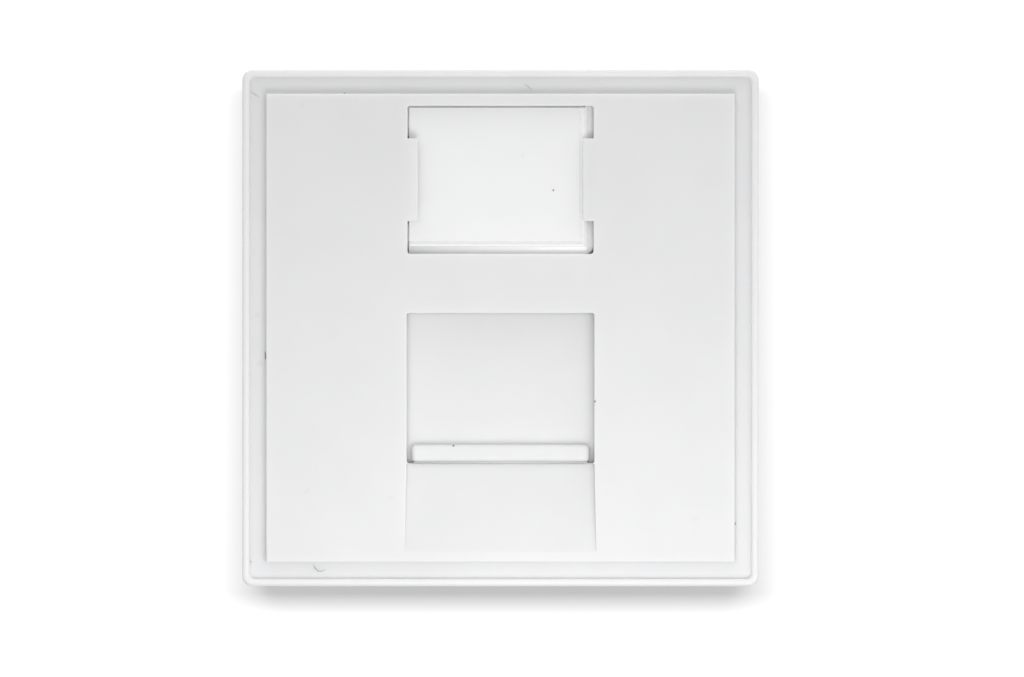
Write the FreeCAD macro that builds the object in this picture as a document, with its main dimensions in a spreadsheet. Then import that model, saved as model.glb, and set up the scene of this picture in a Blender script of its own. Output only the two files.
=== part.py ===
import FreeCAD, Part
import math
import os
import re
import Sketcher

# A 45 x 45 mm snap-in faceplate for one keystone jack, with a sliding dust shutter.
# It stands upright as fitted: the face looks along -Y, +Z is up, and the origin is the
# centre of the plane where the face's flange bears on the support frame.
# Depths are measured forward from that seat, so a place behind the seat is negative.

# Every size that can be set by itself, in millimetres.
SIZES = {
    # square face: rim, lower channel and raised plate
    "face_size": 45.0,
    "face_corner": 0.9,
    "seat_to_face": 4.8,
    "rim_width": 0.65,
    "rim_drop": 0.15,
    "rim_round": 0.3,
    "channel_width": 1.45,
    "channel_depth": 0.8,
    "channel_corner": 0.45,
    "plate_wall": 2.0,
    "plate_round": 0.12,
    # skirt behind the face, with its snap fingers
    "flange_width": 1.8,
    "skirt_length": 7.5,
    "skirt_wall": 1.3,
    "skirt_corner": 1.2,
    "skirt_bevel": 0.4,
    "hollow_corner": 0.5,
    "finger_width": 10.0,
    "finger_root": 1.0,
    "finger_slot": 1.0,
    "hook_distance": 3.5,
    "hook_reach": 1.2,
    "hook_tip": 0.6,
    "hook_length": 3.8,
    # label pocket, its side tabs, and the label in it
    "label_width": 16.2,
    "label_height": 12.9,
    "label_margin": 1.05,
    "label_depth": 1.2,
    "label_corner": 0.25,
    "tab_reach": 0.9,
    "tab_height": 7.2,
    "tab_thickness": 0.4,
    "core_gap": 0.2,
    "cover_gap": 0.1,
    "cover_side_play": 0.7,
    "cover_foot_play": 0.6,
    "cover_thickness": 0.55,
    "cover_round": 0.2,
    "card_thickness": 0.2,
    "card_inset": 0.2,
    # port opening and the sloped finger recess below it
    "port_width": 16.35,
    "port_height": 13.1,
    "port_corner": 0.2,
    "ramp_depth": 1.5,
    "ramp_margin": 0.9,
    "ramp_flare": 0.15,
    # shutter and its guides
    "shutter_gap": 0.2,
    "shutter_thickness": 1.2,
    "shutter_side_lap": 1.1,
    "shutter_top_lap": 1.2,
    "shutter_foot_lap": 0.8,
    "grip_side_gap": 0.425,
    "grip_foot_gap": 0.1,
    "grip_height": 1.5,
    "grip_reach": 1.1,
    "grip_round": 0.45,
    "ear_web": 0.3,
    "ear_width": 2.8,
    "ear_height": 3.0,
    "ear_drop": 1.5,
    "ear_depth": 1.2,
    "slide_gap": 0.2,
    "guide_width": 1.0,
    "guide_foot": 1.5,
    # return springs
    "spring_wire": 0.16,
    "spring_diameter": 2.3,
    "spring_coils": 7.0,
    "spring_end_gap": 0.02,
    "spring_room": 0.12,
    "pin_diameter": 1.4,
    "pin_length": 1.2,
    # rear frame with the keystone seat
    "frame_gap": 0.2,
    "frame_plate": 1.8,
    "frame_clearance": 0.15,
    "frame_corner": 0.6,
    "frame_wall": 1.0,
    "frame_wall_depth": 4.1,
    "frame_wall_inset": 4.25,
    "trough_margin": 1.65,
    "jack_width": 15.0,
    "jack_height": 16.5,
    "foot_recess": 3.5,
    "latch_recess": 6.0,
    "collar_margin": 0.75,
    "collar_wall": 1.5,
    "collar_round": 0.5,
    "collar_depth": 9.6,
    "catch_reach": 1.8,
    "catch_depth": 2.0,
    "catch_lead": 0.7,
    "rib_width": 1.2,
    "rib_depth": 2.8,
    "rib_spacing": 12.0,
    "barb_height": 5.0,
    "barb_inset": 5.0,
    "barb_start": 1.1,
    "barb_length": 1.6,
    "barb_reach": 0.8,
    "barb_gap": 0.3,
}

# Places worked out from those sizes, as spreadsheet expressions.
CREST = "(seat_to_face - rim_drop)"
CHANNEL_FLOOR = "(seat_to_face - channel_depth)"
PLATE_SIZE = "(face_size - 2 * rim_width - 2 * channel_width)"
PLATE_INSIDE = "(seat_to_face - plate_wall)"
SKIRT_SIZE = "(face_size - 2 * flange_width)"
HOLLOW_SIZE = f"({SKIRT_SIZE} - 2 * skirt_wall)"
FRAME_SIZE = f"({HOLLOW_SIZE} - 2 * frame_clearance)"
COLLAR_FOOT = f"(collar_margin - {FRAME_SIZE} / 2)"
RECESS_FOOT = f"({COLLAR_FOOT} + collar_wall)"
RECESS_HEIGHT = "(jack_height + foot_recess + latch_recess)"
JACK_FOOT = f"({RECESS_FOOT} + foot_recess)"
JACK_MIDDLE = f"({JACK_FOOT} + jack_height / 2)"
LABEL_FLOOR = "(seat_to_face - label_depth)"
LABEL_TOP = f"({PLATE_SIZE} / 2 - label_margin)"
LABEL_FOOT = f"({LABEL_TOP} - label_height)"
LABEL_MIDDLE = f"({LABEL_TOP} - label_height / 2)"
COVER_WIDTH = "(label_width - cover_gap - cover_side_play)"
COVER_HEIGHT = "(label_height - cover_gap - cover_foot_play)"
COVER_MIDDLE = f"(cover_gap - label_width / 2 + {COVER_WIDTH} / 2)"
COVER_FOOT = f"({LABEL_FOOT} + cover_foot_play)"
PORT_FOOT = f"({JACK_MIDDLE} - port_height / 2)"
PORT_TOP = f"({JACK_MIDDLE} + port_height / 2)"
SHUTTER_FRONT = f"({PLATE_INSIDE} - shutter_gap)"
SHUTTER_BACK = f"({SHUTTER_FRONT} - shutter_thickness)"
SHUTTER_HALF = "(port_width / 2 + shutter_side_lap)"
SHUTTER_TOP = f"({PORT_TOP} + shutter_top_lap)"
SHUTTER_FOOT = f"({PORT_FOOT} - shutter_foot_lap)"
EAR_TOP = f"({SHUTTER_TOP} - ear_drop)"
EAR_FOOT = f"({EAR_TOP} - ear_height)"
EAR_MIDDLE = f"({SHUTTER_HALF} + ear_web + ear_width / 2)"
EAR_BACK = f"({SHUTTER_BACK} - ear_depth)"
FRAME_FRONT = f"({SHUTTER_BACK} - frame_gap)"
FRAME_REAR = f"({FRAME_FRONT} - frame_plate)"
TROUGH_WIDTH = "(ear_width + 2 * slide_gap)"
TROUGH_FLOOR = f"({EAR_BACK} - slide_gap)"
TROUGH_TOP = f"({FRAME_SIZE} / 2 - trough_margin)"
SPRING_DEPTH = f"(({PLATE_INSIDE} + {TROUGH_FLOOR}) / 2)"
GUIDE_FOOT = f"({SHUTTER_FOOT} - guide_foot)"
COLLAR_REAR = f"({FRAME_FRONT} - collar_depth)"
BARB_FRONT = f"({FRAME_REAR} - barb_start)"
BARB_REAR = f"({BARB_FRONT} - barb_length)"
FRAME_WALL_HEIGHT = f"({FRAME_SIZE} - 2 * frame_wall_inset)"
BARB_MIDDLE = f"({FRAME_WALL_HEIGHT} / 2 - barb_inset)"

document = FreeCAD.newDocument("keystone_faceplate")
sheet = document.addObject("Spreadsheet::Sheet", "sizes")


def fill_sheet():
    """Write every size into its own spreadsheet cell, with the size's name as the alias."""
    for row, (name, size) in enumerate(SIZES.items(), start=1):
        sheet.set(f"A{row}", str(size))
        sheet.setAlias(f"A{row}", name)
    document.recompute()


def formula(text):
    """Put the spreadsheet's name before every size in an expression."""
    return re.sub(r"[a-z_]+", lambda word: f"sizes.{word.group()}", text)


def value(text):
    """Work out an expression as a number."""
    return float(sheet.evalExpression(formula(text)))


def bind(item, target, text):
    """Tie a property of a document object to an expression."""
    item.setExpression(target, formula(text))


def new_body(name):
    """Start a body whose label names its file."""
    body = document.addObject("PartDesign::Body", name)
    body.Label = name
    body.Placement = FreeCAD.Placement()
    return body


def origin_plane(body, role):
    """Find one of the body's own origin planes."""
    return next(item for item in body.Origin.OriginFeatures if item.Role == role)


def sketch_on(body, name, role, offset="0"):
    """Start a sketch on an origin plane, moved along the plane's normal by an expression."""
    sketch = body.newObject("Sketcher::SketchObject", name)
    sketch.AttachmentSupport = [(origin_plane(body, role), "")]
    sketch.MapMode = "FlatFace"
    bind(sketch, ".AttachmentOffset.Base.z", offset)
    return sketch


def constrain(sketch, kind, text, *places):
    """Add one dimension to a sketch and tie it to an expression."""
    number = sketch.addConstraint(Sketcher.Constraint(kind, *places, value(text)))
    bind(sketch, f"Constraints[{number}]", text)


def outline(sketch, corners):
    """Draw a closed outline with straight sides; each corner is two expressions."""
    first = sketch.GeometryCount
    count = len(corners)
    points = [FreeCAD.Vector(value(across), value(up), 0) for across, up in corners]
    for index in range(count):
        sketch.addGeometry(Part.LineSegment(points[index], points[(index + 1) % count]))
    for index in range(count):
        following = first + (index + 1) % count
        sketch.addConstraint(Sketcher.Constraint("Coincident", first + index, 2, following, 1))
    for index, (across, up) in enumerate(corners, start=first):
        constrain(sketch, "DistanceX", across, -1, 1, index, 1)
        constrain(sketch, "DistanceY", up, -1, 1, index, 1)


def rectangle(sketch, middle, width, foot, height):
    """Draw a rectangle from the middle of its width and its lower edge."""
    left = f"({middle} - {width} / 2)"
    right = f"({middle} + {width} / 2)"
    top = f"({foot} + {height})"
    outline(sketch, [(left, foot), (right, foot), (right, top), (left, top)])


def rectangle_pair(sketch, middle, width, foot, height):
    """Draw the same rectangle on both sides of the vertical axis."""
    rectangle(sketch, f"(0 - {middle})", width, foot, height)
    rectangle(sketch, middle, width, foot, height)


def rounded_rectangle(sketch, middle, width, foot, height, radius):
    """Draw a rectangle with four equal round corners."""
    left = value(f"{middle} - {width} / 2")
    right = value(f"{middle} + {width} / 2")
    low = value(foot)
    high = value(f"{foot} + {height}")
    round_by = value(radius)
    turn = FreeCAD.Vector(0, 0, 1)
    centres = [
        FreeCAD.Vector(right - round_by, low + round_by, 0),
        FreeCAD.Vector(right - round_by, high - round_by, 0),
        FreeCAD.Vector(left + round_by, high - round_by, 0),
        FreeCAD.Vector(left + round_by, low + round_by, 0),
    ]
    quarter = math.pi / 2
    first = sketch.GeometryCount
    corners = [Part.ArcOfCircle(Part.Circle(centre, turn, round_by), quarter * (index - 1), quarter * index)
               for index, centre in enumerate(centres)]
    for index, corner in enumerate(corners):
        sketch.addGeometry(Part.LineSegment(corners[index - 1].EndPoint, corner.StartPoint))
        sketch.addGeometry(corner)
    for index in range(4):
        side = first + 2 * index
        following = first + 2 * ((index + 1) % 4)
        sketch.addConstraint(Sketcher.Constraint("Tangent", side, 2, side + 1, 1))
        sketch.addConstraint(Sketcher.Constraint("Tangent", side + 1, 2, following, 1))
        sketch.addConstraint(Sketcher.Constraint("Vertical" if index % 2 else "Horizontal", side))
    for index in range(1, 4):
        sketch.addConstraint(Sketcher.Constraint("Equal", first + 1, first + 2 * index + 1))
    constrain(sketch, "Radius", radius, first + 1)
    constrain(sketch, "DistanceY", foot, -1, 1, first, 1)
    constrain(sketch, "DistanceX", f"{middle} + {width} / 2", -1, 1, first + 2, 1)
    constrain(sketch, "DistanceY", f"{foot} + {height}", -1, 1, first + 4, 1)
    constrain(sketch, "DistanceX", f"{middle} - {width} / 2", -1, 1, first + 6, 1)


def circle_pair(sketch, middle, up, diameter):
    """Draw the same circle on both sides of the vertical axis."""
    for across in (f"(0 - {middle})", middle):
        centre = FreeCAD.Vector(value(across), value(up), 0)
        number = sketch.addGeometry(Part.Circle(centre, FreeCAD.Vector(0, 0, 1), value(diameter) / 2))
        constrain(sketch, "Diameter", diameter, number)
        constrain(sketch, "DistanceX", across, -1, 1, number, 3)
        constrain(sketch, "DistanceY", up, -1, 1, number, 3)


def square(sketch, side, radius):
    """Draw a square with round corners about the origin."""
    rounded_rectangle(sketch, "0", side, f"(0 - {side} / 2)", side, radius)


def extrude(body, kind, name, sketch, length, back=False, both=False):
    """Pad or pocket a sketch by an expression and make it the body's tip."""
    before = body.Shape.Volume if body.Tip else 0.0
    feature = body.newObject(f"PartDesign::{kind}", name)
    feature.Profile = sketch
    feature.Reversed = back
    feature.SideType = "Symmetric" if both else "One side"
    bind(feature, "Length", length)
    sketch.Visibility = False
    body.Tip = feature
    document.recompute()
    if abs(body.Shape.Volume - before) < 1e-6:
        raise RuntimeError(f"{name} changes nothing")
    return feature


def pad(body, name, sketch, length, **options):
    """Add material; it grows along the sketch's normal unless back is set."""
    return extrude(body, "Pad", name, sketch, length, **options)


def pocket(body, name, sketch, length, **options):
    """Cut material; it cuts against the sketch's normal unless back is set."""
    return extrude(body, "Pocket", name, sketch, length, **options)


def mirror(body, name, feature, role):
    """Repeat a feature on the other side of an origin plane."""
    mirrored = body.newObject("PartDesign::Mirrored", name)
    mirrored.Originals = [feature]
    mirrored.MirrorPlane = (origin_plane(body, role), [""])
    body.Tip = mirrored
    document.recompute()


def finish_edges(body, kind, name, measure, size, chosen):
    """Add a fillet or a chamfer to the edges of the body's tip that a test picks."""
    base = body.Tip
    names = [f"Edge{number}" for number, edge in enumerate(base.Shape.Edges, start=1) if chosen(edge)]
    finish = body.newObject(f"PartDesign::{kind}", name)
    finish.Base = (base, names)
    bind(finish, measure, size)
    body.Tip = finish
    document.recompute()


def round_edges(body, name, radius, chosen):
    """Round the edges that a test picks."""
    finish_edges(body, "Fillet", name, "Radius", radius, chosen)


def bevel_edges(body, name, width, chosen):
    """Bevel the edges that a test picks."""
    finish_edges(body, "Chamfer", name, "Size", width, chosen)


def lies_at_depth(edge, depth):
    """Say whether a whole edge lies at one depth in front of the seat."""
    box = edge.BoundBox
    place = -value(depth)
    return abs(box.YMin - place) < 1e-4 and abs(box.YMax - place) < 1e-4


def reaches_past(edge, depth):
    """Say whether any of an edge is further forward than a depth."""
    return -edge.BoundBox.YMin > value(depth) + 1e-4


def front_plate():
    """The visible moulding: stepped face, label pocket, port, skirt and snap fingers."""
    body = new_body("front_plate")
    face_block(body)
    face_openings(body)
    finger_recess(body)
    shutter_guides(body)
    snap_fingers(body)
    return body


def face_block(body):
    """The stepped square face and the hollow skirt behind it."""
    sketch = sketch_on(body, "flange_sketch", "XZ_Plane")
    square(sketch, "face_size", "face_corner")
    pad(body, "flange", sketch, CREST)
    sketch = sketch_on(body, "channel_sketch", "XZ_Plane", CREST)
    square(sketch, "(face_size - 2 * rim_width)", "channel_corner")
    pocket(body, "channel", sketch, f"{CREST} - {CHANNEL_FLOOR}")
    round_edges(body, "rim_crest", "rim_round", lambda edge: lies_at_depth(edge, CREST))
    sketch = sketch_on(body, "plate_sketch", "XZ_Plane", CHANNEL_FLOOR)
    rectangle(sketch, "0", PLATE_SIZE, f"(0 - {PLATE_SIZE} / 2)", PLATE_SIZE)
    pad(body, "raised_plate", sketch, "channel_depth")
    round_edges(body, "plate_edges", "plate_round", lambda edge: lies_at_depth(edge, "seat_to_face"))
    sketch = sketch_on(body, "skirt_sketch", "XZ_Plane")
    square(sketch, SKIRT_SIZE, "skirt_corner")
    pad(body, "skirt", sketch, "skirt_length", back=True)
    bevel_edges(body, "skirt_edge", "skirt_bevel", lambda edge: lies_at_depth(edge, "0 - skirt_length"))
    sketch = sketch_on(body, "hollow_sketch", "XZ_Plane", "(0 - skirt_length)")
    square(sketch, HOLLOW_SIZE, "hollow_corner")
    pocket(body, "hollow", sketch, f"skirt_length + {PLATE_INSIDE}", back=True)


def face_openings(body):
    """The label pocket with its tabs and core windows, and the port."""
    sketch = sketch_on(body, "label_sketch", "XZ_Plane", "seat_to_face")
    rounded_rectangle(sketch, "0", "label_width", LABEL_FOOT, "label_height", "label_corner")
    pocket(body, "label_pocket", sketch, "label_depth")
    sketch = sketch_on(body, "tab_sketch", "XZ_Plane", "(seat_to_face - tab_thickness)")
    middle = "(label_width / 2 - tab_reach / 2)"
    rectangle_pair(sketch, middle, "tab_reach", f"({LABEL_MIDDLE} - tab_height / 2)", "tab_height")
    pad(body, "label_tabs", sketch, "tab_thickness")
    sketch = sketch_on(body, "core_sketch", "XZ_Plane", LABEL_FLOOR)
    width = "(tab_reach + core_gap)"
    height = "(tab_height + 2 * core_gap)"
    middle = f"(label_width / 2 - {width} / 2)"
    rectangle_pair(sketch, middle, width, f"({LABEL_MIDDLE} - {height} / 2)", height)
    pocket(body, "core_windows", sketch, "plate_wall - label_depth")
    sketch = sketch_on(body, "port_sketch", "XZ_Plane", "seat_to_face")
    rounded_rectangle(sketch, "0", "port_width", PORT_FOOT, "port_height", "port_corner")
    pocket(body, "port", sketch, "plate_wall")


def finger_recess(body):
    """The slope below the port: deepest at the port, flush at its foot, a little wider there."""
    ramp = body.newObject("PartDesign::SubtractiveWedge", "finger_ramp")
    ramp.AttachmentSupport = [(origin_plane(body, "XZ_Plane"), "")]
    ramp.MapMode = "FlatFace"
    head_half = "port_width / 2"
    foot_half = "(port_width / 2 + ramp_flare)"
    sides = {
        "Ymin": f"ramp_margin - {PLATE_SIZE} / 2",
        "Xmin": f"0 - {foot_half}",
        "Xmax": foot_half,
        "Zmin": "seat_to_face",
        "Zmax": "seat_to_face + ramp_depth",
        "Ymax": PORT_FOOT,
        "X2min": f"0 - {head_half}",
        "X2max": head_half,
        "Z2min": "seat_to_face - ramp_depth",
        "Z2max": "seat_to_face + ramp_depth",
    }
    for side, place in sides.items():
        bind(ramp, side, place)
    body.Tip = ramp
    document.recompute()


def shutter_guides(body):
    """Ribs behind the plate that guide the shutter and stop it where it is shut."""
    depth = f"{PLATE_INSIDE} - {FRAME_FRONT}"
    sketch = sketch_on(body, "panel_guide_sketch", "XZ_Plane", FRAME_FRONT)
    middle = f"({SHUTTER_HALF} + slide_gap + guide_width / 2)"
    rectangle_pair(sketch, middle, "guide_width", GUIDE_FOOT, f"({EAR_FOOT} - {GUIDE_FOOT})")
    pad(body, "panel_guides", sketch, depth)
    sketch = sketch_on(body, "ear_guide_sketch", "XZ_Plane", FRAME_FRONT)
    middle = f"({EAR_MIDDLE} + {TROUGH_WIDTH} / 2 + guide_width / 2)"
    rectangle_pair(sketch, middle, "guide_width", GUIDE_FOOT, f"({HOLLOW_SIZE} / 2 - {GUIDE_FOOT})")
    pad(body, "ear_guides", sketch, depth)
    sketch = sketch_on(body, "foot_rib_sketch", "XZ_Plane", FRAME_FRONT)
    width = f"(2 * {EAR_MIDDLE} + {TROUGH_WIDTH})"
    rectangle(sketch, "0", width, GUIDE_FOOT, "guide_width")
    pad(body, "foot_rib", sketch, depth)


def snap_fingers(body):
    """Slots that free a springy finger above and below, the hooks on them, and four side windows."""
    wall_middle = f"({SKIRT_SIZE} / 2 - skirt_wall / 2)"
    sketch = sketch_on(body, "slot_sketch", "XZ_Plane", "(0 - skirt_length)")
    middle = "(finger_width / 2 + finger_slot / 2)"
    rectangle_pair(sketch, middle, "finger_slot", f"({wall_middle} - skirt_wall)", "(2 * skirt_wall)")
    slots = pocket(body, "finger_slots", sketch, "skirt_length - finger_root", back=True)
    mirror(body, "lower_finger_slots", slots, "XY_Plane")
    sketch = sketch_on(body, "hook_sketch", "YZ_Plane")
    face = f"({SKIRT_SIZE} / 2)"
    tip = f"({face} + hook_reach)"
    outline(sketch, [
        ("hook_distance", f"({face} - skirt_wall / 2)"),
        ("(hook_distance + hook_length)", f"({face} - skirt_wall / 2)"),
        ("(hook_distance + hook_length)", face),
        ("(hook_distance + hook_tip)", tip),
        ("hook_distance", tip),
    ])
    hook = pad(body, "upper_hook", sketch, "finger_width", both=True)
    mirror(body, "lower_hook", hook, "XY_Plane")
    sketch = sketch_on(body, "window_sketch", "YZ_Plane")
    front = f"(0 - {BARB_FRONT} - barb_gap)"
    rear = f"(0 - {BARB_REAR} + barb_gap)"
    height = "(barb_height + 2 * barb_gap)"
    for side in ("-", "+"):
        foot = f"(0 {side} {BARB_MIDDLE} - {height} / 2)"
        rectangle(sketch, f"(({front} + {rear}) / 2)", f"({rear} - {front})", foot, height)
    pocket(body, "frame_windows", sketch, f"{SKIRT_SIZE} + skirt_wall", both=True)


def shutter():
    """The sliding dust shutter: panel, grip bar, and two ears that carry the springs."""
    body = new_body("shutter")
    sketch = sketch_on(body, "panel_sketch", "XZ_Plane", SHUTTER_BACK)
    rectangle(sketch, "0", f"(2 * {SHUTTER_HALF})", SHUTTER_FOOT, f"({SHUTTER_TOP} - {SHUTTER_FOOT})")
    pad(body, "panel", sketch, "shutter_thickness")
    sketch = sketch_on(body, "ear_sketch", "XZ_Plane", SHUTTER_BACK)
    width = "(ear_web + ear_width)"
    rectangle_pair(sketch, f"({SHUTTER_HALF} + {width} / 2)", width, EAR_FOOT, "ear_height")
    pad(body, "ears", sketch, "shutter_thickness")
    sketch = sketch_on(body, "ear_block_sketch", "XZ_Plane", SHUTTER_BACK)
    rectangle_pair(sketch, EAR_MIDDLE, "ear_width", EAR_FOOT, "ear_height")
    pad(body, "ear_blocks", sketch, "ear_depth", back=True)
    sketch = sketch_on(body, "pin_sketch", "XY_Plane", EAR_TOP)
    circle_pair(sketch, EAR_MIDDLE, f"(0 - {SPRING_DEPTH})", "pin_diameter")
    pad(body, "spring_pins", sketch, "pin_length")
    sketch = sketch_on(body, "grip_sketch", "XZ_Plane", SHUTTER_FRONT)
    width = "(port_width - 2 * grip_side_gap)"
    foot = f"({PORT_FOOT} + grip_foot_gap)"
    rectangle(sketch, "0", width, foot, "grip_height")
    pad(body, "grip", sketch, "grip_reach")
    round_edges(body, "grip_rounding", "grip_round", lambda edge: reaches_past(edge, SHUTTER_FRONT))
    return body


def label_cover():
    """The clear cover under the two tabs, high and left in its pocket."""
    body = new_body("label_cover")
    back = f"({LABEL_FLOOR} + card_thickness)"
    sketch = sketch_on(body, "cover_sketch", "XZ_Plane", back)
    rectangle(sketch, COVER_MIDDLE, COVER_WIDTH, COVER_FOOT, COVER_HEIGHT)
    pad(body, "cover", sketch, "cover_thickness")
    round_edges(body, "cover_edges", "cover_round", lambda edge: reaches_past(edge, back))
    return body


def label_card():
    """The blank paper label under the cover."""
    body = new_body("label_card")
    sketch = sketch_on(body, "card_sketch", "XZ_Plane", LABEL_FLOOR)
    width = f"({COVER_WIDTH} - 2 * card_inset)"
    height = f"({COVER_HEIGHT} - 2 * card_inset)"
    rectangle(sketch, COVER_MIDDLE, width, f"({COVER_FOOT} + card_inset)", height)
    pad(body, "card", sketch, "card_thickness")
    return body


def spring(name, side):
    """A compression spring of square wire between one ear of the shutter and the top of its trough."""
    coil = document.addObject("Part::Helix", f"{name}_coil")
    length = f"({TROUGH_TOP} - {EAR_TOP} - spring_wire - 2 * spring_end_gap)"
    bind(coil, "Height", length)
    bind(coil, "Pitch", f"{length} / spring_coils")
    bind(coil, "Radius", "spring_diameter / 2")
    wire = document.addObject("Part::Plane", f"{name}_wire")
    bind(wire, "Length", "spring_wire")
    bind(wire, "Width", "spring_wire")
    wire.Placement.Rotation = FreeCAD.Rotation(FreeCAD.Vector(1, 0, 0), 90)
    bind(wire, ".Placement.Base.x", "spring_diameter / 2 - spring_wire / 2")
    bind(wire, ".Placement.Base.z", "0 - spring_wire / 2")
    sweep = document.addObject("Part::Sweep", name)
    sweep.Label = name
    sweep.Sections = [wire]
    sweep.Spine = (coil, ["Edge1"])
    sweep.Solid = True
    sweep.Frenet = True
    bind(sweep, ".Placement.Base.x", f"{side} * {EAR_MIDDLE}")
    bind(sweep, ".Placement.Base.y", f"0 - {SPRING_DEPTH}")
    bind(sweep, ".Placement.Base.z", f"{EAR_TOP} + spring_end_gap + spring_wire / 2")
    return sweep


def keystone_frame():
    """The rear frame: base plate, spring troughs, keystone seat and its catches."""
    body = new_body("keystone_frame")
    frame_base(body)
    jack_seat(body)
    spring_troughs(body)
    frame_barbs(body)
    return body


def frame_base(body):
    """The base plate with a stiff wall along its left and right edges."""
    sketch = sketch_on(body, "base_sketch", "XZ_Plane", FRAME_FRONT)
    square(sketch, FRAME_SIZE, "frame_corner")
    pad(body, "base", sketch, "frame_plate", back=True)
    sketch = sketch_on(body, "side_wall_sketch", "XZ_Plane", FRAME_REAR)
    middle = f"({FRAME_SIZE} / 2 - frame_wall / 2)"
    rectangle_pair(sketch, middle, "frame_wall", f"(0 - {FRAME_WALL_HEIGHT} / 2)", FRAME_WALL_HEIGHT)
    pad(body, "side_walls", sketch, "frame_wall_depth", back=True)
    sketch = sketch_on(body, "rib_sketch", "XZ_Plane", FRAME_REAR)
    inner = "(jack_width / 2 + collar_wall / 2)"
    outer = f"({FRAME_SIZE} / 2 - frame_wall / 2)"
    for side in ("-", "+"):
        foot = f"({JACK_MIDDLE} {side} rib_spacing / 2 - rib_width / 2)"
        rectangle_pair(sketch, f"(({inner} + {outer}) / 2)", f"({outer} - {inner})", foot, "rib_width")
    pad(body, "ribs", sketch, "rib_depth", back=True)


def jack_seat(body):
    """The collar that takes a keystone jack from behind, its window, and the two catches."""
    sketch = sketch_on(body, "collar_sketch", "XZ_Plane", FRAME_REAR)
    height = f"({RECESS_HEIGHT} + 2 * collar_wall)"
    rectangle(sketch, "0", "(jack_width + 2 * collar_wall)", COLLAR_FOOT, height)
    pad(body, "collar", sketch, "collar_depth - frame_plate", back=True)
    round_edges(body, "collar_edge", "collar_round", lambda edge: lies_at_depth(edge, COLLAR_REAR))
    sketch = sketch_on(body, "recess_sketch", "XZ_Plane", COLLAR_REAR)
    rectangle(sketch, "0", "jack_width", RECESS_FOOT, RECESS_HEIGHT)
    pocket(body, "jack_recess", sketch, "collar_depth - frame_plate", back=True)
    sketch = sketch_on(body, "jack_window_sketch", "XZ_Plane", FRAME_FRONT)
    rectangle(sketch, "0", "jack_width", JACK_FOOT, "jack_height")
    pocket(body, "jack_window", sketch, "frame_plate")
    sketch = sketch_on(body, "catch_sketch", "YZ_Plane")
    rear = f"(0 - {COLLAR_REAR})"
    front = f"({rear} - catch_depth)"
    top = f"({RECESS_FOOT} + {RECESS_HEIGHT})"
    for wall, inward in ((RECESS_FOOT, "+"), (top, "-")):
        back_side = f"({wall} {'-' if inward == '+' else '+'} collar_wall / 2)"
        outline(sketch, [
            (front, back_side),
            (rear, back_side),
            (rear, f"({wall} {inward} catch_lead)"),
            (front, f"({wall} {inward} catch_reach)"),
        ])
    pad(body, "catches", sketch, "jack_width + collar_wall", both=True)


def spring_troughs(body):
    """Troughs where the ears and springs run, each closed above by a stop with a pin."""
    sketch = sketch_on(body, "trough_sketch", "XZ_Plane", FRAME_FRONT)
    foot = f"({EAR_FOOT} - slide_gap)"
    rectangle_pair(sketch, EAR_MIDDLE, TROUGH_WIDTH, foot, f"({TROUGH_TOP} - {foot})")
    pocket(body, "troughs", sketch, f"{FRAME_FRONT} - {TROUGH_FLOOR}")
    sketch = sketch_on(body, "stop_sketch", "XZ_Plane", FRAME_FRONT)
    rectangle_pair(sketch, EAR_MIDDLE, "ear_width", TROUGH_TOP, f"({FRAME_SIZE} / 2 - {TROUGH_TOP})")
    pad(body, "spring_stops", sketch, f"{PLATE_INSIDE} - spring_room - {FRAME_FRONT}")
    sketch = sketch_on(body, "fixed_pin_sketch", "XY_Plane", TROUGH_TOP)
    circle_pair(sketch, EAR_MIDDLE, f"(0 - {SPRING_DEPTH})", "pin_diameter")
    pad(body, "fixed_pins", sketch, "pin_length", back=True)


def frame_barbs(body):
    """Four wedges on the side walls that snap into the skirt's windows."""
    sketch = sketch_on(body, "barb_sketch", "XY_Plane", BARB_MIDDLE)
    front = f"(0 - {BARB_FRONT})"
    rear = f"(0 - {BARB_REAR})"
    for side in ("-", "+"):
        inner = f"(0 {side} ({FRAME_SIZE} / 2 - frame_wall / 2))"
        wall = f"(0 {side} {FRAME_SIZE} / 2)"
        tip = f"(0 {side} ({FRAME_SIZE} / 2 + barb_reach))"
        outline(sketch, [(inner, front), (wall, front), (tip, rear), (inner, rear)])
    barbs = pad(body, "upper_barbs", sketch, "barb_height", both=True)
    mirror(body, "lower_barbs", barbs, "XY_Plane")


def write_parts(pieces):
    """Check every object and solid, then write one STEP file for each piece."""
    for item in document.Objects:
        if "Invalid" in item.State or "Error" in item.State:
            raise RuntimeError(f"{item.Label} failed: {item.State}")
    for piece in pieces:
        if piece.Shape.isNull() or not piece.Shape.isValid() or len(piece.Shape.Solids) != 1:
            raise RuntimeError(f"{piece.Label} isn't one sound solid")
    os.makedirs("parts", exist_ok=True)
    for piece in pieces:
        piece.Shape.exportStep(f"parts/{piece.Label}.step")


fill_sheet()
faceplate = [
    front_plate(),
    keystone_frame(),
    shutter(),
    spring("spring_left", "-1"),
    spring("spring_right", "1"),
    label_cover(),
    label_card(),
]
document.recompute()
write_parts(faceplate)
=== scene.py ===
import math
import random

import bmesh
import bpy
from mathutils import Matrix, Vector
from mathutils.bvhtree import BVHTree


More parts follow.
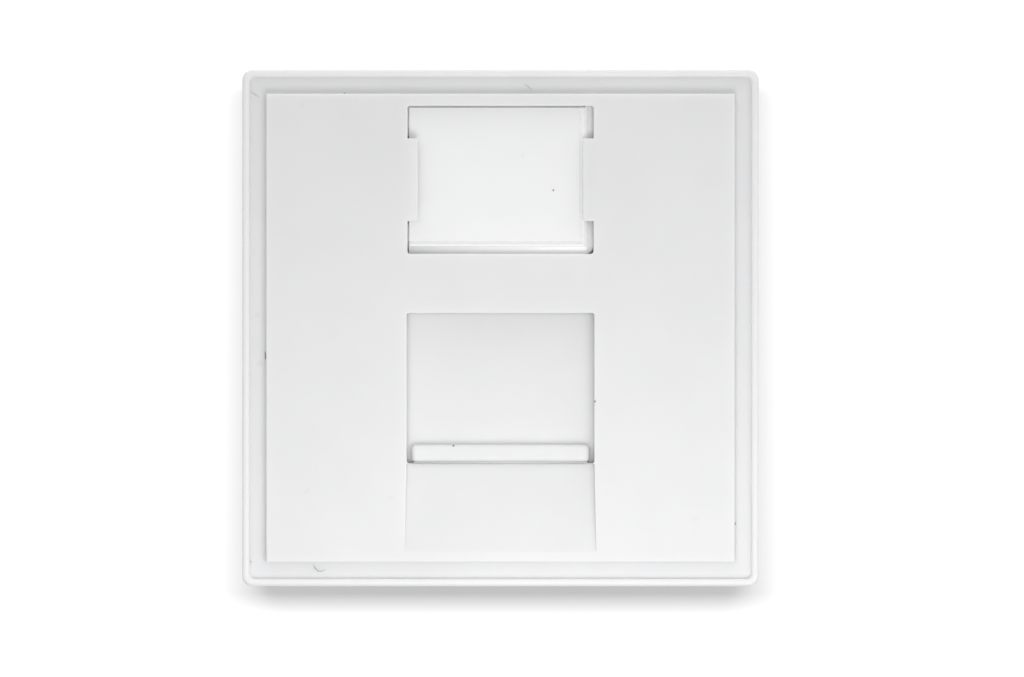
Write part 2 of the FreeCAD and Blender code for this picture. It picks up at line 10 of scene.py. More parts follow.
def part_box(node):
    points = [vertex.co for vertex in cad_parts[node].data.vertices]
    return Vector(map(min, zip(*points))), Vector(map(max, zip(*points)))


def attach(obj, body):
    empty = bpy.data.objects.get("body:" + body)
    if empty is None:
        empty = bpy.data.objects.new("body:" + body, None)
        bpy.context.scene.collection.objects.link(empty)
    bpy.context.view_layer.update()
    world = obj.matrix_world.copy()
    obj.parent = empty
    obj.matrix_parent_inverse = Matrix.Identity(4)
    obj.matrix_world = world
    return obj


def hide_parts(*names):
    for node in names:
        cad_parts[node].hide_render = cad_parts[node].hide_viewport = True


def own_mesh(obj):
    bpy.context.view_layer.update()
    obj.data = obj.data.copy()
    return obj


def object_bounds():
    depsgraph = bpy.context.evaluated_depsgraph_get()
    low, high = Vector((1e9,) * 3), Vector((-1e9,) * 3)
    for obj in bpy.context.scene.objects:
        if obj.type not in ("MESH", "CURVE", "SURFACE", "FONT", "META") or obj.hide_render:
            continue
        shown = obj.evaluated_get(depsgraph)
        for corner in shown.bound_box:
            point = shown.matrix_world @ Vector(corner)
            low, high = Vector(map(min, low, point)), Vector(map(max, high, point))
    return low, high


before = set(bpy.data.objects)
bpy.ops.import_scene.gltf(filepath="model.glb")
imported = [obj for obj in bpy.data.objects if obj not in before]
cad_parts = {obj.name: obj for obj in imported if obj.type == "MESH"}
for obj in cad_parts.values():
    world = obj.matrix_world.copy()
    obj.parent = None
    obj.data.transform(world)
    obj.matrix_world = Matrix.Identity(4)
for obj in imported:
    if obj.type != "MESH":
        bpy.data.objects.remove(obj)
cad_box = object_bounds()

MM = 0.001

# The photo's view: its width in pixels and its scale, and the camera's distance, place, sensor and clipping.
PHOTO_WIDTH = 1024
PIXELS_PER_MM = 11.49
CAMERA_DISTANCE = 0.5
CAMERA_RIGHT = 1.0 * MM
CAMERA_DOWN = 0.92 * MM
SENSOR_WIDTH = 36.0
CLIP_START = 0.01
CLIP_END = 20.0

# The dome's level all round, and what it gains overhead, at the right and behind.
DOME = 0.44
DOME_UP = 0.76
DOME_RIGHT = 0.17
DOME_BACK = 0.4

# The softboxes, which face the middle of the part: place, width and height in metres, and power in watts.
LOW_LAMP = ((0.01, -0.09, -0.045), 0.07, 0.05, 0.0395)
PAPER_LAMP = ((0.0, -0.45, 0.058), 0.22, 0.078, 8.8)

# The white paper behind the part: its gap to the part, its reach to every side, how far below the part it
# bends forward, the bend's radius and steps, its grey, and its own glow.
SHEET_GAP = 0.1 * MM
SHEET_REACH = 60 * MM
SHEET_DROP = 12 * MM
SHEET_BEND = 30 * MM
SHEET_STEPS = 12
SHEET_GREY = 0.15
SHEET_GLOW = 0.47

# The clear cover's frosted edge in its own material: how wide it is fully frosted, and where the frost ends.
FROST_FULL = 0.17 * MM
FROST_FADE = 0.5 * MM

# The roll that goes on from that edge: how far inside the cover's outline and below its front it starts, its
# play at the left end, and how far it stands off the pocket's floor. Then, for the foot, the right side and
# the top: how far its slope and the shelf behind it reach past the cover, and how far it falls.
ROLL_BORDER = 0.06 * MM
ROLL_DROP = 0.02 * MM
ROLL_PLAY = 0.02 * MM
ROLL_LIFT = 0.005 * MM
ROLL_FOOT = (0.57 * MM, 0.59 * MM, 0.2 * MM)
ROLL_SIDE = (0.34 * MM, 0.69 * MM, 0.36 * MM)
ROLL_TOP = (0.05 * MM, 0.07 * MM, 0.2 * MM)
# The share of the fall that is straight, and the steps of the slope and of each corner.
ROLL_STRAIGHT = 0.4
ROLL_STEPS = 12

# The lip that closes the shutter's grip on the sill: its foot above the shutter's own, its height, how far it
# lies behind the grip's front, its depth, half its width and its soft edge.
LIP_FOOT = 0.82 * MM
LIP_HEIGHT = 0.1 * MM
LIP_SETBACK = 0.2 * MM
LIP_DEPTH = 0.6 * MM
LIP_HALF = 7.6 * MM
LIP_EDGE = 0.02 * MM

# The core windows under the label's tabs: outer edge from the middle, width, foot and top. Each floor keeps
# clear of its window by the play, and lies between two depths behind the pocket's floor.
WINDOW_EDGE = 8.1 * MM
WINDOW_WIDTH = 1.1 * MM
WINDOW_FOOT = 9.1 * MM
WINDOW_TOP = 16.7 * MM
WINDOW_PLAY = 0.02 * MM
FLOOR_FRONT = 0.01 * MM
FLOOR_BACK = 0.2 * MM
FLOOR_EDGE = 0.03 * MM

# The paper label: how far inside the cover's outline it ends (twice that at the foot and right), how far its
# front lies behind the card's, how high its waves are and their angle's rise and start across and up the
# sheet, and how finely it is divided.
LABEL_EDGE = 0.04 * MM
LABEL_SETBACK = 0.03 * MM
LABEL_WAVE = 0.008 * MM
WAVE_ACROSS = (5.1, 0.4)
WAVE_UP = (3.7, 1.1)
LABEL_ROWS = 40
LABEL_COLUMNS = 50

# The springs' round wire: its radius and sides, how many turns it makes, and the steps to a turn.
WIRE_RADIUS = 0.0875 * MM
WIRE_SIDES = 8
SPRING_TURNS = 7
STEPS_PER_TURN = 40

# Lint on the face, and two dark ticks drawn along the plate's left and right edges: the piece that carries
# each, half its width, how dark it is (0 white, 1 black), and the places that it runs through. This and the
# grit are in millimetres from the middle of the face.
FIBRES = {
    "foot_fibre": (
        "front_plate", 0.04, 0.3,
        [(-16.35, -20.6), (-16.2, -20.9), (-15.95, -21.15), (-15.7, -21.25), (-15.25, -21.05)],
    ),
    "corner_fibre": ("front_plate", 0.03, 0.2, [(-21.8, 20.6), (-21.45, 20.4), (-21.0, 20.1)]),
    "low_fibre": ("front_plate", 0.03, 0.3, [(-21.95, -20.2), (-21.8, -20.35), (-21.65, -20.45)]),
    "top_fibre": ("front_plate", 0.025, 0.3, [(2.05, 21.3), (2.4, 21.05), (2.75, 20.75)]),
    # The two ticks are short dark strokes on the raised plate's edge step, which darken its edge line at two
    # places.
    "left_tick": ("front_plate", 0.045, 0.6, [(-20.5, -2.05), (-20.48, -2.4), (-20.5, -2.75)]),
    "right_tick": ("front_plate", 0.05, 0.7, [(20.42, -16.9), (20.45, -17.05), (20.43, -17.2)]),
}
# A fibre's sides, its steps from one place to the next, and its lift off the face and its half-width at the
# tips, both as a share of half its width.
FIBRE_SIDES = 6
FIBRE_STEPS = 4
FIBRE_LIFT = 0.6
FIBRE_TIP = 0.35

# Grit on the face: the piece that carries it, half its width, how dark it is and its place.
SPECKS = {
    "label_speck": ("label_cover", 0.08, 0.8, (4.6, 12.0)),
    "label_grain": ("label_cover", 0.06, 0.25, (1.95, 15.0)),
    "grip_speck": ("shutter", 0.09, 0.85, (-4.1, -10.3)),
    "wall_speck": ("front_plate", 0.09, 0.6, (8.22, -6.4)),
    "edge_speck": ("front_plate", 0.09, 0.4, (-13.6, 20.42)),
}
# How much smaller or bigger a grain is at each of its corners, and how flat it is.
SPECK_SIZES = (0.75, 1.1)
SPECK_FLATNESS = 0.5

# Faint smudges in the face's colour: place and radius in millimetres, and how much they darken it.
SMUDGES = [
    (-16.85, -14.2, 0.3, 0.06),
    (-9.55, -14.8, 0.4, 0.04),
    (-21.2, 1.1, 0.35, 0.06),
    (-20.9, -3.1, 0.45, 0.07),
    (-17.3, 19.4, 0.35, 0.04),
    (16.9, -16.6, 0.5, 0.03),
]
# They fade with depth from the plate's front, so that none shows on the sides; the pull is how much a step in
# depth counts. The gain turns the darkening into a share of the grey.
SMUDGE_PULL = 0.1
SMUDGE_DEPTH = -3.8 * MM
SMUDGE_GREY = 0.9
SMUDGE_GAIN = 10

# Two ranges that most of a noise's values lie in, and the whole range.
CORE = (0.35, 0.65)
WIDE = (0.3, 0.7)
FULL = (0.0, 1.0)

# How deep light scatters in the plastic, and how far each of its colours goes.
SCATTER_DEPTH = 0.5 * MM
SCATTER_COLOURS = (1.0, 0.95, 0.9)

# Lint and grit are as light as this where they are lightest and darkest, before their own darkness counts.
DIRT_LIGHT = 0.8
DIRT_DARK = 0.6

BEVEL_SAMPLES = 6
WHITE = (1.0, 1.0, 1.0, 1.0)


# ---------------------------------------------------------------- node helpers

def new_material(name):
    """An empty node material, its tree and its output."""
    material = bpy.data.materials.new(name)
    material.use_nodes = True
    material.node_tree.nodes.clear()
    output = material.node_tree.nodes.new("ShaderNodeOutputMaterial")
    return material, material.node_tree, output


def add(tree, kind, **settings):
    """A node of a kind, with its settings."""
    node = tree.nodes.new(f"ShaderNode{kind}")
    for key, setting in settings.items():
        setattr(node, key, setting)
    return node


def put(node, **values):
    """Write socket values; underscores in a socket's name stand for spaces."""
    for key, number in values.items():
        node.inputs[key.replace("_", " ")].default_value = number
    return node


def object_place(tree):
    """The object's own coordinates."""
    return add(tree, "TexCoord").outputs["Object"]


def noise(tree, place, scale, detail, roughness):
    """A noise in object coordinates; scale is in cycles per metre."""
    node = add(tree, "TexNoise")
    put(node, Scale=scale, Detail=detail, Roughness=roughness)
    tree.links.new(place, node.inputs["Vector"])
    return node.outputs["Fac"]


def spread(tree, source, read, give):
    """Map one range of values onto another, clamped at its ends."""
    node = add(tree, "MapRange")
    for index, number in enumerate((*read, *give), start=1):
        node.inputs[index].default_value = number
    tree.links.new(source, node.inputs[0])
    return node.outputs[0]


def math_node(tree, operation, *terms):
    """A maths node whose inputs are numbers or sockets."""
    node = add(tree, "Math", operation=operation)
    for index, term in enumerate(terms):
        if isinstance(term, (int, float)):
            node.inputs[index].default_value = term
        else:
            tree.links.new(term, node.inputs[index])
    return node.outputs[0]


def blend_colours(tree, share, first, second):
    """Mix two colours by a share."""
    node = add(tree, "Mix", data_type="RGBA")
    node.inputs["A"].default_value = (*first, 1.0)
    node.inputs["B"].default_value = (*second, 1.0)
    tree.links.new(share, node.inputs["Factor"])
    return node.outputs["Result"]


def blend_shaders(tree, share, first, second):
    """Mix two shaders by a share."""
    node = add(tree, "MixShader")
    tree.links.new(share, node.inputs["Fac"])
    tree.links.new(first, node.inputs[1])
    tree.links.new(second, node.inputs[2])
    return node.outputs[0]


def relief(tree, height, strength, distance, normal=None):
    """A bump from a height, over another normal where one is given."""
    node = put(add(tree, "Bump"), Strength=strength, Distance=distance)
    tree.links.new(height, node.inputs["Height"])
    if normal is not None:
        tree.links.new(normal, node.inputs["Normal"])
    return node.outputs[0]


def soft_corners(tree, radius):
    """A normal that rounds the piece's edges."""
    return put(add(tree, "Bevel", samples=BEVEL_SAMPLES), Radius=radius).outputs[0]


# ---------------------------------------------------------------- materials

def smudged(tree, place, colours):
    """Darken a colour softly round each smudge."""
    flat = add(tree, "VectorMath", operation="MULTIPLY")
    flat.inputs[1].default_value = (1.0, SMUDGE_PULL, 1.0)
    tree.links.new(place, flat.inputs[0])
    for x, z, radius, share in SMUDGES:
        away = add(tree, "VectorMath", operation="DISTANCE")
        away.inputs[1].default_value = (x * MM, SMUDGE_PULL * SMUDGE_DEPTH, z * MM)
        tree.links.new(flat.outputs[0], away.inputs[0])
        near = spread(tree, away.outputs["Value"], (0.0, radius * MM), (share * SMUDGE_GAIN, 0.0))
        mark = add(tree, "Mix", data_type="RGBA", blend_type="MULTIPLY")
        tree.links.new(near, mark.inputs["Factor"])
        tree.links.new(colours, mark.inputs["A"])
        mark.inputs["B"].default_value = (SMUDGE_GREY, SMUDGE_GREY, SMUDGE_GREY, 1.0)
        colours = mark.outputs["Result"]
    return colours


def moulded_plastic(name, colour, shade, rough, grain, edge, scatter=1.0, smudges=False):
    """White moulded ABS: mottled, wavy, fine in its grain and soft-edged; scatter makes it translucent."""
    material, tree, output = new_material(name)
    shader = add(tree, "BsdfPrincipled")
    put(shader, IOR=1.53, Subsurface_Weight=scatter, Subsurface_Scale=SCATTER_DEPTH)
    shader.inputs["Subsurface Radius"].default_value = SCATTER_COLOURS
    tree.links.new(shader.outputs[0], output.inputs["Surface"])
    place = object_place(tree)
    mottle = noise(tree, place, scale=160.0, detail=3.0, roughness=0.55)
    colours = blend_colours(tree, spread(tree, mottle, CORE, FULL), colour, shade)
    if smudges:
        colours = smudged(tree, place, colours)
    tree.links.new(colours, shader.inputs["Base Color"])
    patches = noise(tree, place, scale=420.0, detail=4.0, roughness=0.6)
    tree.links.new(spread(tree, patches, WIDE, (rough - 0.05, rough + 0.06)), shader.inputs["Roughness"])
    fine = noise(tree, place, scale=9000.0, detail=2.0, roughness=0.6)
    slow = noise(tree, place, scale=140.0, detail=1.0, roughness=0.4)
    waves = relief(tree, slow, strength=0.25, distance=0.06 * MM, normal=soft_corners(tree, edge))
    grains = relief(tree, fine, strength=grain, distance=0.006 * MM, normal=waves)
    tree.links.new(grains, shader.inputs["Normal"])
    return material


def paper(name):
    """Smooth uncoated card with a faint fibre mottle."""
    material, tree, output = new_material(name)
    shader = put(add(tree, "BsdfPrincipled"), IOR=1.4)
    tree.links.new(shader.outputs[0], output.inputs["Surface"])
    place = object_place(tree)
    stretched = put(add(tree, "Mapping"), Scale=(1.0, 1.0, 2.6))
    tree.links.new(place, stretched.inputs["Vector"])
    fibres = noise(tree, stretched.outputs[0], scale=2600.0, detail=5.0, roughness=0.7)
    clouds = noise(tree, place, scale=320.0, detail=3.0, roughness=0.5)
    mottle = math_node(tree, "MULTIPLY", math_node(tree, "ADD", fibres, clouds), 0.5)
    share = spread(tree, mottle, CORE, FULL)
    colours = blend_colours(tree, share, (0.975, 0.977, 0.98), (0.96, 0.962, 0.965))
    tree.links.new(colours, shader.inputs["Base Color"])
    tree.links.new(spread(tree, fibres, WIDE, (0.72, 0.86)), shader.inputs["Roughness"])
    tree.links.new(relief(tree, fibres, strength=0.3, distance=0.008 * MM), shader.inputs["Normal"])
    return material


def frost_share(tree, place):
    """How frosted the cover is: wholly at its foot and right side; light passes through the frost freely."""
    low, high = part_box("label_cover")
    parts = add(tree, "SeparateXYZ")
    tree.links.new(place, parts.inputs[0])
    foot = spread(tree, parts.outputs["Z"], (low.z + FROST_FULL, low.z + FROST_FADE), (1.0, 0.0))
    right = spread(tree, parts.outputs["X"], (high.x - FROST_FADE, high.x - FROST_FULL), (0.0, 1.0))
    rays = add(tree, "LightPath")
    passed = math_node(tree, "ADD", rays.outputs["Is Shadow Ray"], rays.outputs["Is Diffuse Ray"])
    kept = math_node(tree, "SUBTRACT", 1.0, math_node(tree, "MINIMUM", passed, 1.0))
    return math_node(tree, "MULTIPLY", math_node(tree, "MAXIMUM", foot, right), kept)


def clear_plastic(name):
    """Clear polycarbonate sheet with a shine on its face, and frosted white along its foot and right side."""
    material, tree, output = new_material(name)
    place = object_place(tree)
    haze = noise(tree, place, scale=500.0, detail=3.0, roughness=0.6)
    slow = noise(tree, place, scale=180.0, detail=1.0, roughness=0.5)
    bump = relief(tree, slow, strength=0.2, distance=0.03 * MM, normal=soft_corners(tree, 0.08 * MM))
    clear = put(add(tree, "BsdfTransparent"), Color=WHITE)
    shine = put(add(tree, "BsdfPrincipled"), IOR=1.58, Base_Color=(0.95, 0.95, 0.95, 1.0))
    tree.links.new(spread(tree, haze, WIDE, (0.1, 0.2)), shine.inputs["Roughness"])
    tree.links.new(bump, shine.inputs["Normal"])
    facing = put(add(tree, "LayerWeight"), Blend=0.35)
    tree.links.new(bump, facing.inputs["Normal"])
    gloss = spread(tree, facing.outputs["Facing"], FULL, (0.015, 0.2))
    sheet = blend_shaders(tree, gloss, clear.outputs[0], shine.outputs[0])
    frost = put(add(tree, "BsdfPrincipled"), IOR=1.53, Roughness=0.32, Base_Color=(0.95, 0.951, 0.954, 1.0))
    tree.links.new(bump, frost.inputs["Normal"])
    edged = blend_shaders(tree, frost_share(tree, place), sheet, frost.outputs[0])
    tree.links.new(edged, output.inputs["Surface"])
    return material


def drawn_wire(name):
    """Bright drawn spring wire with fine streaks and faint stains."""
    material, tree, output = new_material(name)
    shader = put(add(tree, "BsdfPrincipled"), Metallic=1.0)
    tree.links.new(shader.outputs[0], output.inputs["Surface"])
    place = object_place(tree)
    streaks = noise(tree, place, scale=6000.0, detail=4.0, roughness=0.7)
    stains = noise(tree, place, scale=900.0, detail=3.0, roughness=0.6)
    share = spread(tree, stains, (0.4, 0.7), FULL)
    colours = blend_colours(tree, share, (0.64, 0.64, 0.65), (0.5, 0.49, 0.48))
    tree.links.new(colours, shader.inputs["Base Color"])
    tree.links.new(spread(tree, streaks, WIDE, (0.22, 0.4)), shader.inputs["Roughness"])
    tree.links.new(relief(tree, streaks, strength=0.3, distance=0.004 * MM), shader.inputs["Normal"])
    return material


def dirt(name, darkness):
    """Matt lint, grit, or the dark ticks on the plate's edges."""
    material, tree, output = new_material(name)
    shader = put(add(tree, "BsdfPrincipled"), Roughness=0.9)
    tree.links.new(shader.outputs[0], output.inputs["Surface"])
    spots = noise(tree, object_place(tree), scale=15000.0, detail=3.0, roughness=0.6)
    colour = (DIRT_LIGHT * (1 - darkness),) * 3
    shade = (DIRT_DARK * (1 - darkness),) * 3
    colours = blend_colours(tree, spread(tree, spots, CORE, FULL), colour, shade)
    tree.links.new(colours, shader.inputs["Base Color"])
    return material


# ---------------------------------------------------------------- shapes

def loft(shape, rings):
    """Skin a row of rings and close both ends."""
    for first, second in zip(rings, rings[1:]):
        for index in range(len(first)):
            following = (index + 1) % len(first)
            shape.faces.new((first[index], first[following], second[following], second[index]))
    shape.faces.new(list(reversed(rings[0])))
    shape.faces.new(rings[-1])


def tube(points, radius_at, sides):
    """A closed round tube along points, with no twist; its radius follows the share of its length."""
    shape = bmesh.new()
    rings = []
    normal = Vector((0, 1, 0))
    for index, point in enumerate(points):
        ahead = points[min(index + 1, len(points) - 1)]
        behind = points[max(index - 1, 0)]
        along = (ahead - behind).normalized()
        normal = (normal - along * normal.dot(along)).normalized()
        across = along.cross(normal)
        size = radius_at(index / (len(points) - 1))
        ring = []
        for side in range(sides):
            angle = 2 * math.pi * side / sides
            ring.append(shape.verts.new(point + (normal * math.cos(angle) + across * math.sin(angle)) * size))
        rings.append(ring)
    loft(shape, rings)
    bmesh.ops.recalc_face_normals(shape, faces=shape.faces)
    return shape


def soft_block(low, high, edge):
    """A box between two corners, with soft edges."""
    block = bmesh.new()
    bmesh.ops.create_cube(block, size=1.0)
    for vertex in block.verts:
        for axis in range(3):
            vertex.co[axis] = low[axis] if vertex.co[axis] < 0 else high[axis]
    bmesh.ops.bevel(block, geom=block.edges[:], offset=edge, segments=2, affect="EDGES")
    return block


def face_point(node, place):
    """The point of a piece's front that lies at a place, which is given in millimetres from the middle."""
    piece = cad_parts[node]
    mesh = piece.data
    corners = [piece.matrix_world @ vertex.co for vertex in mesh.vertices]
    tree = BVHTree.FromPolygons(corners, [tuple(polygon.vertices) for polygon in mesh.polygons])
    start = Vector((place[0] * MM, cad_box[0][1] - MM, place[1] * MM))
    return tree.ray_cast(start, Vector((0, 1, 0)))[0]


# ---------------------------------------------------------------- pieces

def as_object(name, shape, material, body):
    """Turn a shape into a smooth piece that rides on a body."""
    mesh = bpy.data.meshes.new(name)
    shape.to_mesh(mesh)
    shape.free()
    mesh.materials.append(material)
    for polygon in mesh.polygons:
        polygon.use_smooth = True
    piece = bpy.data.objects.new(name, mesh)
    bpy.context.scene.collection.objects.link(piece)
    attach(piece, body)
    return piece


def rider(node):
    """The body that carries a node."""
    return "shutter" if node == "shutter" else "housing"


def coil_spring(node, material):
    """A round-wire compression spring in the place of the CAD spring, carried by the housing."""
    low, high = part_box(node)
    radius = (high.x - low.x) / 2 - WIRE_RADIUS
    middle = (low + high) / 2
    foot = low.z + WIRE_RADIUS
    rise = high.z - low.z - 2 * WIRE_RADIUS
    steps = STEPS_PER_TURN * SPRING_TURNS
    points = []
    for step in range(steps + 1):
        angle = 2 * math.pi * SPRING_TURNS * step / steps
        x = middle.x + radius * math.cos(angle)
        y = middle.y + radius * math.sin(angle)
        points.append(Vector((x, y, foot + rise * step / steps)))
    wire = tube(points, lambda along: WIRE_RADIUS, WIRE_SIDES)
    piece = as_object(f"{node}_wire", wire, material, "housing")
    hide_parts(node)
    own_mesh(piece)


def fibre(name, node, half_width, darkness, places):
    """A thin dark strand that lies on the face, thinner towards its ends: a hair of lint, or one of the edge
    ticks.
    """
    lift = Vector((0, half_width * MM * FIBRE_LIFT, 0))
    points = [face_point(node, place) - lift for place in places]
    fine = []
    for first, second in zip(points, points[1:]):
        for step in range(FIBRE_STEPS):
            fine.append(first.lerp(second, step / FIBRE_STEPS))
    fine.append(points[-1])

    def radius_at(along):
        return half_width * MM * (FIBRE_TIP + (1 - FIBRE_TIP) * math.sin(math.pi * along))

    hair = tube(fine, radius_at, FIBRE_SIDES)
    as_object(name, hair, dirt(f"{name}_dirt", darkness), rider(node))


def speck(name, node, half_width, darkness, place):
    """A grain of grit, rough and a little flat."""
    point = face_point(node, place)
    grain = bmesh.new()
    bmesh.ops.create_icosphere(grain, subdivisions=2, radius=half_width * MM)
    roughness = random.Random(name)
    for vertex in grain.verts:
        vertex.co *= roughness.uniform(*SPECK_SIZES)
        vertex.co.y *= SPECK_FLATNESS
        vertex.co += point
    as_object(name, grain, dirt(f"{name}_dirt", darkness), rider(node))


def tab_floor(name, side, material):
    """The pocket's floor under one tab, which hides the core window behind it."""
    floor_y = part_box("label_card")[1].y
    inner = side * (WINDOW_EDGE - WINDOW_WIDTH + WINDOW_PLAY)
    outer = side * (WINDOW_EDGE - WINDOW_PLAY)
    low = (min(inner, outer), floor_y + FLOOR_FRONT, WINDOW_FOOT + WINDOW_PLAY)
    high = (max(inner, outer), floor_y + FLOOR_BACK, WINDOW_TOP - WINDOW_PLAY)
    as_object(name, soft_block(low, high, FLOOR_EDGE), material, "housing")


def cover_roll(material):
    """The clear cover's frosted edge, which slopes down past the cover at its foot and right side."""
    low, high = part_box("label_cover")
    floor_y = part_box("label_card")[1].y - ROLL_LIFT
    front_y = low.y + ROLL_DROP
    foot_corner = (high.x - ROLL_BORDER, low.z + ROLL_BORDER)
    top_corner = (high.x - ROLL_BORDER, high.z - ROLL_BORDER)
    stations = [((low.x + ROLL_PLAY, foot_corner[1]), -math.pi / 2, ROLL_FOOT)]
    for corner, turn, first, last in (
        (foot_corner, -math.pi / 2, ROLL_FOOT, ROLL_SIDE),
        (top_corner, 0.0, ROLL_SIDE, ROLL_TOP),
    ):
        for step in range(ROLL_STEPS + 1):
            share = step / ROLL_STEPS
            reach = [one + (other - one) * share for one, other in zip(first, last)]
            stations.append((corner, turn + share * math.pi / 2, reach))
    roll = bmesh.new()
    rings = []
    for (x, z), angle, (slope, shelf, fall) in stations:
        section = []
        for step in range(ROLL_STEPS + 1):
            share = step / ROLL_STEPS
            sunk = ROLL_STRAIGHT * share + (1 - ROLL_STRAIGHT) * share * share
            section.append(((ROLL_BORDER + slope) * share, front_y + fall * sunk))
        rim = ROLL_BORDER + shelf
        section += [(rim, front_y + fall), (rim, floor_y), (0.0, floor_y)]
        ring = []
        for out, y in section:
            ring.append(roll.verts.new((x + out * math.cos(angle), y, z + out * math.sin(angle))))
        rings.append(ring)
    loft(roll, rings)
    bmesh.ops.remove_doubles(roll, verts=roll.verts[:], dist=1e-7)
    bmesh.ops.recalc_face_normals(roll, faces=roll.faces)
    as_object("cover_roll", roll, material, "housing")


def grip_lip(material):
    """A thin lip under the shutter's grip, which closes the slit above the sill."""
    box_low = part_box("shutter")[0]
    low = (-LIP_HALF, box_low.y + LIP_SETBACK, box_low.z + LIP_FOOT)
    high = (LIP_HALF, low[1] + LIP_DEPTH, low[2] + LIP_HEIGHT)
    as_object("grip_lip", soft_block(low, high, LIP_EDGE), material, "shutter")


def wavy_grid(sheet, low, high, face_y, bend):
    """Rows of corners for one side of the label; bend is 1 for the wavy side and 0 for the flat one."""
    grid = []
    for row in range(LABEL_ROWS + 1):
        up = row / LABEL_ROWS
        line = []
        for column in range(LABEL_COLUMNS + 1):
            across = column / LABEL_COLUMNS
            swing = math.sin(across * WAVE_ACROSS[0] + WAVE_ACROSS[1])
            wave = swing * math.sin(up * WAVE_UP[0] + WAVE_UP[1]) * LABEL_WAVE
            x = low.x + (high.x - low.x) * across
            z = low.z + (high.z - low.z) * up
            line.append(sheet.verts.new((x, face_y + bend * (LABEL_WAVE + wave), z)))
        grid.append(line)
    return grid


def paper_label(material):
    """The blank label: a thin sheet with a faintly wavy front, which reaches almost to its cover's edges."""
    low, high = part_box("label_card")
    cover_low, cover_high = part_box("label_cover")
    low.x, high.x = cover_low.x + LABEL_EDGE, cover_high.x - 2 * LABEL_EDGE
    low.z, high.z = cover_low.z + 2 * LABEL_EDGE, cover_high.z - LABEL_EDGE
    sheet = bmesh.new()
    front = wavy_grid(sheet, low, high, low.y + LABEL_SETBACK, 1.0)
    back = wavy_grid(sheet, low, high, high.y, 0.0)
    for grid in (front, back):
        for lower, upper in zip(grid, grid[1:]):
            for column in range(LABEL_COLUMNS):
                sheet.faces.new((lower[column], lower[column + 1], upper[column + 1], upper[column]))
    rims = [
        ([line[0] for line in front], [line[0] for line in back]),
        ([line[-1] for line in front], [line[-1] for line in back]),
        (front[0], back[0]),
        (front[-1], back[-1]),
    ]
    for near, far in rims:
        for index in range(len(near) - 1):
            sheet.faces.new((near[index], near[index + 1], far[index + 1], far[index]))
    bmesh.ops.recalc_face_normals(sheet, faces=sheet.faces)
    piece = as_object("label_paper", sheet, material, "housing")
    for polygon in piece.data.polygons:
        polygon.use_smooth = False
    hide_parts("label_card")


# ---------------------------------------------------------------- stage, light and camera

def sheet_paper():
    """White paper that glows a little by itself and is seen from its front only."""
    material, tree, output = new_material("sweep_paper")
    matt = put(add(tree, "BsdfDiffuse"), Color=(SHEET_GREY, SHEET_GREY, SHEET_GREY, 1.0))
    glow = put(add(tree, "Emission"), Strength=SHEET_GLOW)
    both = add(tree, "AddShader")
    tree.links.new(matt.outputs[0], both.inputs[0])
    tree.links.new(glow.outputs[0], both.inputs[1])
    clear = add(tree, "BsdfTransparent")
    behind = add(tree, "NewGeometry").outputs["Backfacing"]
    tree.links.new(blend_shaders(tree, behind, both.outputs[0], clear.outputs[0]), output.inputs["Surface"])
    return material


def pale_sweep(rear, lowest):
    """White paper that hangs close behind the object and curves forward below it as the floor."""
    foot = lowest - SHEET_DROP
    profile = [(rear, SHEET_REACH), (rear, foot)]
    for step in range(1, SHEET_STEPS + 1):
        angle = math.pi / 2 * step / SHEET_STEPS
        profile.append((rear - SHEET_BEND * (1 - math.cos(angle)), foot - SHEET_BEND * math.sin(angle)))
    profile.append((-SHEET_REACH, foot - SHEET_BEND))
    corners = []
    for y, z in profile:
        corners += [(-SHEET_REACH, y, z), (SHEET_REACH, y, z)]
    quads = [(2 * row, 2 * row + 2, 2 * row + 3, 2 * row + 1) for row in range(len(profile) - 1)]
    mesh = bpy.data.meshes.new("sweep")
    mesh.from_pydata(corners, [], quads)
    mesh.materials.append(sheet_paper())
    for polygon in mesh.polygons:
        polygon.use_smooth = True
    sweep = bpy.data.objects.new("sweep", mesh)
    bpy.context.scene.collection.objects.link(sweep)
    for way in ("diffuse", "glossy", "transmission", "volume_scatter", "shadow"):
        setattr(sweep, f"visible_{way}", False)
    return sweep


def studio_world():
    """White where it is seen; as a light it is a soft dome, brighter overhead, at the right and behind."""
    world = bpy.data.worlds.new("studio")
    world.use_nodes = True
    bpy.context.scene.world = world
    tree = world.node_tree
    tree.nodes.clear()
    output = tree.nodes.new("ShaderNodeOutputWorld")
    rays = add(tree, "LightPath")
    seen = math_node(tree, "ADD", rays.outputs["Is Camera Ray"], rays.outputs["Is Glossy Ray"])
    seen = math_node(tree, "MINIMUM", math_node(tree, "ADD", seen, rays.outputs["Is Transmission Ray"]), 1.0)
    parts = add(tree, "SeparateXYZ")
    tree.links.new(add(tree, "TexCoord").outputs["Generated"], parts.inputs[0])
    light = DOME
    for axis, gain in (("Z", DOME_UP), ("Y", DOME_BACK), ("X", DOME_RIGHT)):
        towards = math_node(tree, "MAXIMUM", parts.outputs[axis], 0.0)
        light = math_node(tree, "MULTIPLY_ADD", towards, gain, light)
    strength = add(tree, "Mix", data_type="FLOAT")
    tree.links.new(seen, strength.inputs["Factor"])
    tree.links.new(light, strength.inputs["A"])
    strength.inputs["B"].default_value = 1.0
    sky = put(add(tree, "Background"), Color=WHITE)
    tree.links.new(strength.outputs["Result"], sky.inputs["Strength"])
    tree.links.new(sky.outputs[0], output.inputs["Surface"])


def soft_lamp(name, place, width, height, power):
    """A rectangular softbox that faces the middle of the part."""
    light = bpy.data.lights.new(name, "AREA")
    light.shape = "RECTANGLE"
    light.size = width
    light.size_y = height
    light.energy = power
    lamp = bpy.data.objects.new(name, light)
    bpy.context.scene.collection.objects.link(lamp)
    lamp.location = place
    lamp.rotation_euler = (-Vector(place)).to_track_quat("-Z", "Y").to_euler()
    lamp.visible_camera = False
    return lamp


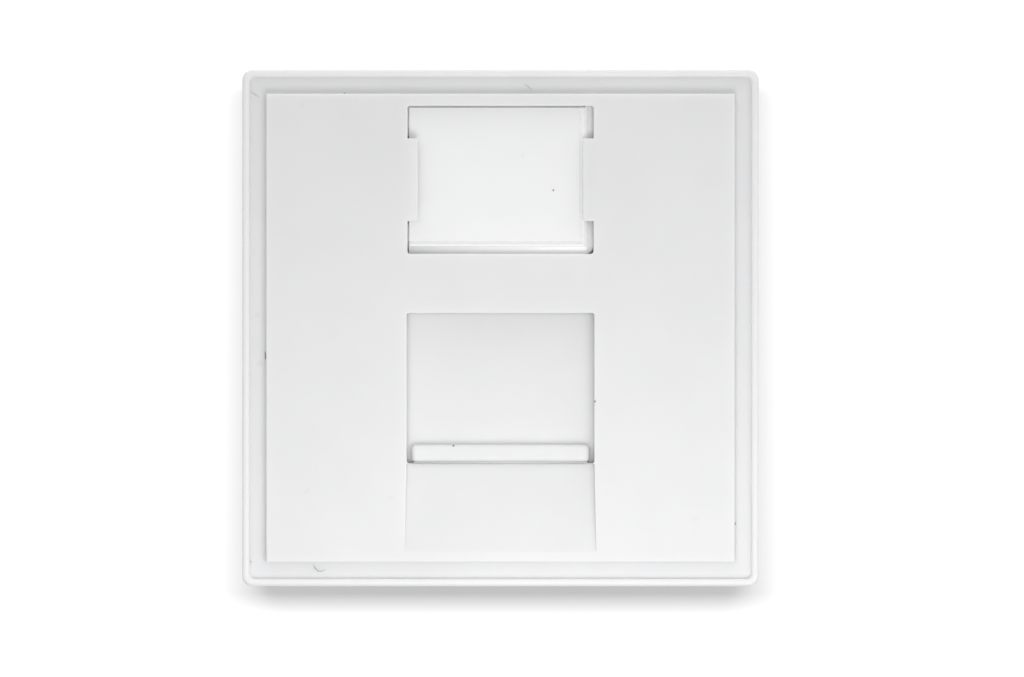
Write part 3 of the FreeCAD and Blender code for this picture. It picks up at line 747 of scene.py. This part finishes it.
def link_light(lamp, piece, state):
    """INCLUDE: the lamp lights this piece alone; EXCLUDE: it lights all but this piece."""
    group = bpy.data.collections.new(f"{lamp.name}_{state.lower()}")
    group.objects.link(piece)
    lamp.light_linking.receiver_collection = group
    group.collection_objects[0].light_linking.link_state = state


def front_camera(face_y):
    """The photograph's straight view of the face, from far enough that the perspective is slight."""
    data = bpy.data.cameras.new("camera")
    data.sensor_width = SENSOR_WIDTH
    data.lens = SENSOR_WIDTH * CAMERA_DISTANCE / (PHOTO_WIDTH / PIXELS_PER_MM * MM)
    data.clip_start = CLIP_START
    data.clip_end = CLIP_END
    camera = bpy.data.objects.new("camera", data)
    bpy.context.scene.collection.objects.link(camera)
    camera.location = (CAMERA_RIGHT, face_y - CAMERA_DISTANCE, -CAMERA_DOWN)
    camera.rotation_euler = (math.pi / 2, 0, 0)
    bpy.context.scene.camera = camera


# ---------------------------------------------------------------- the part

face_plastic = moulded_plastic(
    "face_plastic", colour=(0.855, 0.856, 0.858), shade=(0.84, 0.841, 0.845),
    rough=0.42, grain=0.35, edge=0.08 * MM, smudges=True,
)
frame_plastic = moulded_plastic(
    "frame_plastic", colour=(0.84, 0.84, 0.84), shade=(0.82, 0.82, 0.825),
    rough=0.52, grain=0.5, edge=0.1 * MM,
)
shutter_plastic = moulded_plastic(
    "shutter_plastic", colour=(0.86, 0.861, 0.863), shade=(0.845, 0.847, 0.851),
    rough=0.4, grain=0.35, edge=0.08 * MM,
)
roll_finish = moulded_plastic(
    "roll_finish", colour=(0.95, 0.951, 0.954), shade=(0.94, 0.942, 0.945),
    rough=0.32, grain=0.2, edge=0.04 * MM, scatter=0.0,
)
wire_steel = drawn_wire("wire_steel")
label_paper_finish = paper("label_paper_finish")
cover_finish = clear_plastic("cover_finish")

finishes = {
    "front_plate": face_plastic,
    "keystone_frame": frame_plastic,
    "shutter": shutter_plastic,
    "spring_left": wire_steel,
    "spring_right": wire_steel,
    "label_cover": cover_finish,
    "label_card": label_paper_finish,
}
for node, finish in finishes.items():
    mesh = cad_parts[node].data
    mesh.materials.clear()
    mesh.materials.append(finish)

coil_spring("spring_left", wire_steel)
coil_spring("spring_right", wire_steel)
paper_label(label_paper_finish)
cover_roll(roll_finish)
grip_lip(shutter_plastic)
tab_floor("tab_floor_left", -1, face_plastic)
tab_floor("tab_floor_right", 1, face_plastic)
for name, marks in FIBRES.items():
    fibre(name, *marks)
for name, marks in SPECKS.items():
    speck(name, *marks)

lowest = cad_box[0][2]
rear = cad_box[1][1]
sweep = pale_sweep(rear + SHEET_GAP, lowest)
studio_world()
low_lamp = soft_lamp("low_lamp", *LOW_LAMP)
link_light(low_lamp, sweep, "EXCLUDE")
paper_lamp = soft_lamp("paper_lamp", *PAPER_LAMP)
link_light(paper_lamp, sweep, "INCLUDE")
front_camera(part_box("front_plate")[0].y)

bpy.context.scene.view_settings.view_transform = "Standard"
